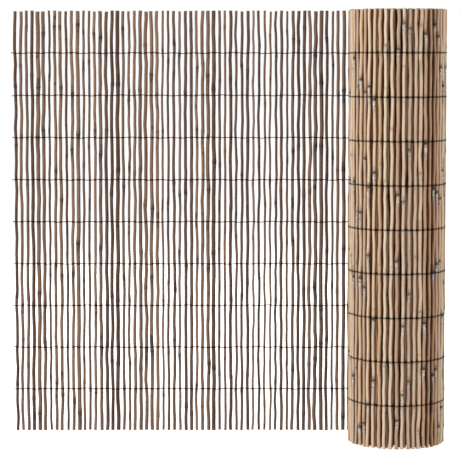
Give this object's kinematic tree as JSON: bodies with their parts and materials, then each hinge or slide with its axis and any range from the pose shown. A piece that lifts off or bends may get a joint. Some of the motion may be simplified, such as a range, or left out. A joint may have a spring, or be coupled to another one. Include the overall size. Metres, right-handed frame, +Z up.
{
  "type": "reed screen",
  "caption": "Standing reed screen, partly unrolled: a flat mat of bare canes bound by wires, leading into an upright roll.",
  "frame": {"origin": "middle of the whole screen's outline in plan, on the floor", "axes": "+Z up along the canes, +X along the flat stretch towards the roll, +Y to the side away from the camera, the flat stretch's back"},
  "size_m": [1.0152, 0.2316, 1],
  "materials": {
    "weathered_reed": "dull, weathered reed",
    "pale_reed": "satin, dry reed",
    "binding_wire": "dull, darkened wire"
  },
  "bodies": {
    "root": {"unrolled_mat": "weathered_reed", "rolled_mat": "pale_reed", "binding_wire_1": "binding_wire", "binding_wire_2": "binding_wire", "binding_wire_3": "binding_wire", "binding_wire_4": "binding_wire", "binding_wire_5": "binding_wire", "binding_wire_6": "binding_wire", "binding_wire_7": "binding_wire", "binding_wire_8": "binding_wire", "binding_wire_9": "binding_wire"}
  },
  "joints": []
}
